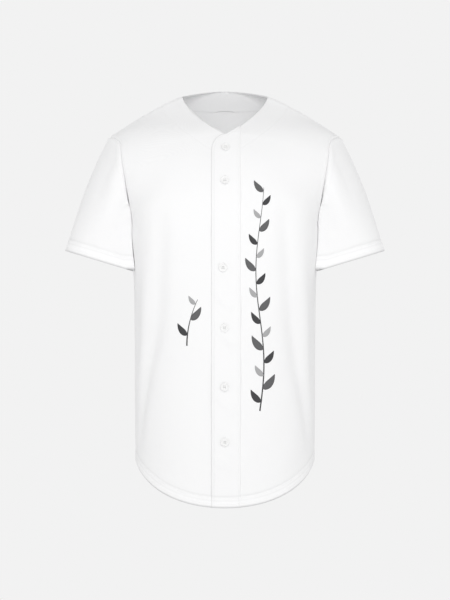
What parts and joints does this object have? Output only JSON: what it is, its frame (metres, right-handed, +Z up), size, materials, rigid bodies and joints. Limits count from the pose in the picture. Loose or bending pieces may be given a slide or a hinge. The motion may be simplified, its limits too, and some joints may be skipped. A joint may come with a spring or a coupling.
{
  "type": "baseball jersey",
  "caption": "Short-sleeved baseball jersey with a collarless V neck, a full-length button front and a curved hem, filled out as if worn.",
  "frame": {"origin": "midway between the two points where the shoulder seams meet the neckline, where the wearer's shoulders carry it", "axes": "+Z up, the front faces -Y, the wearer's left is +X"},
  "size_m": [0.6058, 0.2789, 0.7846],
  "materials": {
    "white_cloth": "matte knitted polyester",
    "facing_cloth": "matte woven",
    "button_plastic": "semi-gloss"
  },
  "bodies": {
    "root": {"front_left": "white_cloth", "front_right": "white_cloth", "placket": "white_cloth", "back": "white_cloth", "sleeve_left": "white_cloth", "sleeve_right": "white_cloth", "neck_facing": "facing_cloth", "button_1": "button_plastic", "button_2": "button_plastic", "button_3": "button_plastic", "button_4": "button_plastic", "button_5": "button_plastic", "button_6": "button_plastic"}
  },
  "joints": []
}
